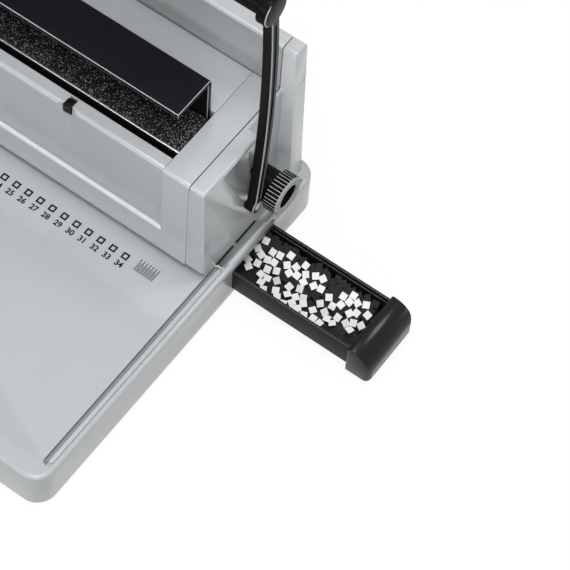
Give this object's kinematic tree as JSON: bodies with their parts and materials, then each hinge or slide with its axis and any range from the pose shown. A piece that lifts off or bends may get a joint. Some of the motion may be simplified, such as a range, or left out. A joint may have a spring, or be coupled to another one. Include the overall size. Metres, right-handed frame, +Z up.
{
  "type": "wire binding machine",
  "caption": "Manual desk wire binding machine: flat tray, punching housing with side lever, wire press bar on top, size knob and pull-out chip drawer.",
  "frame": {"origin": "middle of the base on the desk, under the centre of the tray moulding", "axes": "+X along the machine to the drawer side, +Y to the back, +Z up"},
  "size_m": [0.4751, 0.25, 0.243],
  "materials": {
    "silver": "satin silver-grey paint",
    "black_plastic": "satin black moulding",
    "black_steel": "black semi-gloss coat",
    "bed_coat": "black crinkle coat with bright specks",
    "grip": "soft black sleeve",
    "bright_steel": "ground",
    "plain_steel": "zinc-plated",
    "bronze": "sintered bronze",
    "rubber": "matte"
  },
  "bodies": {
    "root": {"base_tray": "silver", "bottom_plate": "plain_steel", "rubber_feet": "rubber", "bottom_screws": "bright_steel", "drawer_rails": "plain_steel", "die_plate": "bright_steel", "punch_guide": "plain_steel", "back_stop": "plain_steel", "right_side_frame": "plain_steel", "left_side_frame": "plain_steel", "tie_rods": "plain_steel", "shaft_bushes": "bronze", "knob_stud": "bright_steel", "housing": "silver", "front_cover": "silver", "top_cover": "silver", "rear_cover": "silver", "right_end_cover": "silver", "left_end_cover": "silver", "wire_slot": "black_plastic", "wire_bed": "bed_coat", "bed_edge": "bright_steel", "return_springs": "bright_steel"},
    "lever": {"drive_shaft": "bright_steel", "punch_cams": "plain_steel", "press_pinions": "plain_steel", "right_lever_arm": "black_steel", "left_lever_arm": "black_steel", "lever_crossbar": "black_steel", "lever_grip": "grip"},
    "punch": {"punch_bar": "plain_steel", "punch_pins": "bright_steel"},
    "press": {"press_bar": "black_steel", "press_racks": "plain_steel"},
    "knob": {"size_knob": "black_plastic", "stop_cam": "black_plastic"},
    "drawer": {"chip_drawer": "black_plastic", "drawer_handle": "black_plastic"},
    "guide": {"edge_guide": "black_plastic"},
    "latch": {"cover_latch": "black_plastic"}
  },
  "joints": [
    {"name": "lever_swing", "type": "hinge", "parent": "root", "child": "lever", "pos_m": [0, 0.0675, 0.06], "axis": [1, 0, 0], "range_deg": [0, 85]},
    {"name": "punch_stroke", "type": "slide", "parent": "root", "child": "punch", "axis": [0, 0, -1], "range_m": [0, 0.0065], "deforming": ["return_springs"]},
    {"name": "press_stroke", "type": "slide", "parent": "root", "child": "press", "axis": [0, 0, -1], "range_m": [0, 0.0193]},
    {"name": "size_knob_turn", "type": "hinge", "parent": "root", "child": "knob", "pos_m": [0.19, 0.083, 0.059], "axis": [1, 0, 0], "range_deg": [0, 270]},
    {"name": "drawer_slide", "type": "slide", "parent": "root", "child": "drawer", "axis": [1, 0, 0], "range_m": [-0.0775, 0.2]},
    {"name": "edge_guide_slide", "type": "slide", "parent": "root", "child": "guide", "axis": [1, 0, 0], "range_m": [-0.012, 0.012]},
    {"name": "cover_latch_tilt", "type": "hinge", "parent": "root", "child": "latch", "pos_m": [0.089, 0.0326, 0.1072], "axis": [1, 0, 0], "range_deg": [-24, 0], "stiffness_Nm_per_rad": 0.02, "springref_deg": 11.46}
  ],
  "couplings": [
    {"joint": "punch_stroke", "follows": "lever_swing", "m_per_rad": 0.0043814},
    {"joint": "press_stroke", "follows": "lever_swing", "m_per_rad": 0.013}
  ]
}
